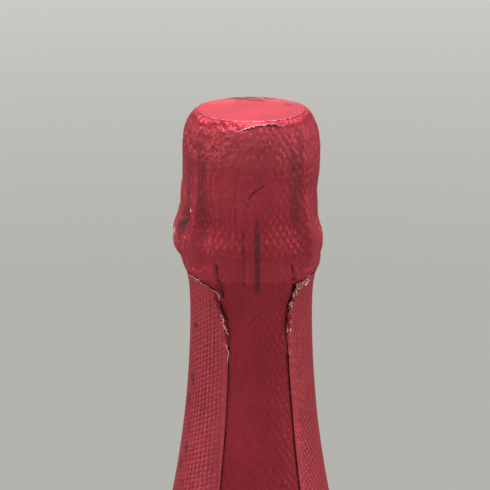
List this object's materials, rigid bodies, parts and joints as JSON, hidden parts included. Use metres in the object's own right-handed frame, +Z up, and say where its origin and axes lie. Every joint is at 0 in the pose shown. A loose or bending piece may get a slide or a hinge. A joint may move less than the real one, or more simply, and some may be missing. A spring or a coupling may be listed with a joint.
{
  "type": "champagne bottle",
  "caption": "Stoppered sparkling wine bottle with a glued cork, wire cage, crimped metal foil capsule and plain paper labels.",
  "frame": {"origin": "centre of the ring that the bottle stands on", "axes": "+Z up along the bottle's axis, -Y towards the front label, -X towards the cage's twist loop"},
  "size_m": [0.0886, 0.089, 0.3218],
  "materials": {
    "bottle_glass": "polished dark green",
    "wine": "clear liquid",
    "agglomerate_cork": "sanded granules",
    "natural_cork": "sanded",
    "cap_plate": "lacquered",
    "cage_wire": "galvanised",
    "red_foil": "embossed satin lacquer",
    "label_paper": "laid, uncoated"
  },
  "bodies": {
    "bottle": {"glass_bottle": "bottle_glass", "wine": "wine", "foil_neck": "red_foil", "neck_label": "label_paper", "front_label": "label_paper", "back_label": "label_paper"},
    "cork": {"cork_body": "agglomerate_cork", "cork_disc_upper": "natural_cork", "cork_disc_lower": "natural_cork"},
    "cage": {"cap_plate": "cap_plate", "cage_wire": "cage_wire", "belt_wire": "cage_wire"},
    "loop": {"twist_loop": "cage_wire"},
    "hood": {"foil_top_disc": "red_foil", "foil_hood": "red_foil"},
    "tab": {"foil_tab": "red_foil"}
  },
  "joints": [
    {"name": "cork_pull", "type": "slide", "parent": "bottle", "child": "cork", "axis": [0, 0, 1], "range_m": [0, 0.06]},
    {"name": "cage_lift", "type": "slide", "parent": "cork", "child": "cage", "axis": [0, 0, 1], "range_m": [0, 0.045], "deforming": ["cage_wire", "belt_wire"]},
    {"name": "loop_swing", "type": "hinge", "parent": "cage", "child": "loop", "pos_m": [-0.0181, 0, 0.2874], "axis": [0, -1, 0], "range_deg": [0, 150]},
    {"name": "hood_lift", "type": "slide", "parent": "cage", "child": "hood", "axis": [0, 0, 1], "range_m": [0, 0.05], "deforming": ["foil_hood"]},
    {"name": "tab_swing", "type": "hinge", "parent": "hood", "child": "tab", "pos_m": [-0.0181, 0, 0.2874], "axis": [0, -1, 0], "range_deg": [0, 150]}
  ],
  "couplings": [
    {"joint": "tab_swing", "follows": "loop_swing", "ratio": 1}
  ]
}
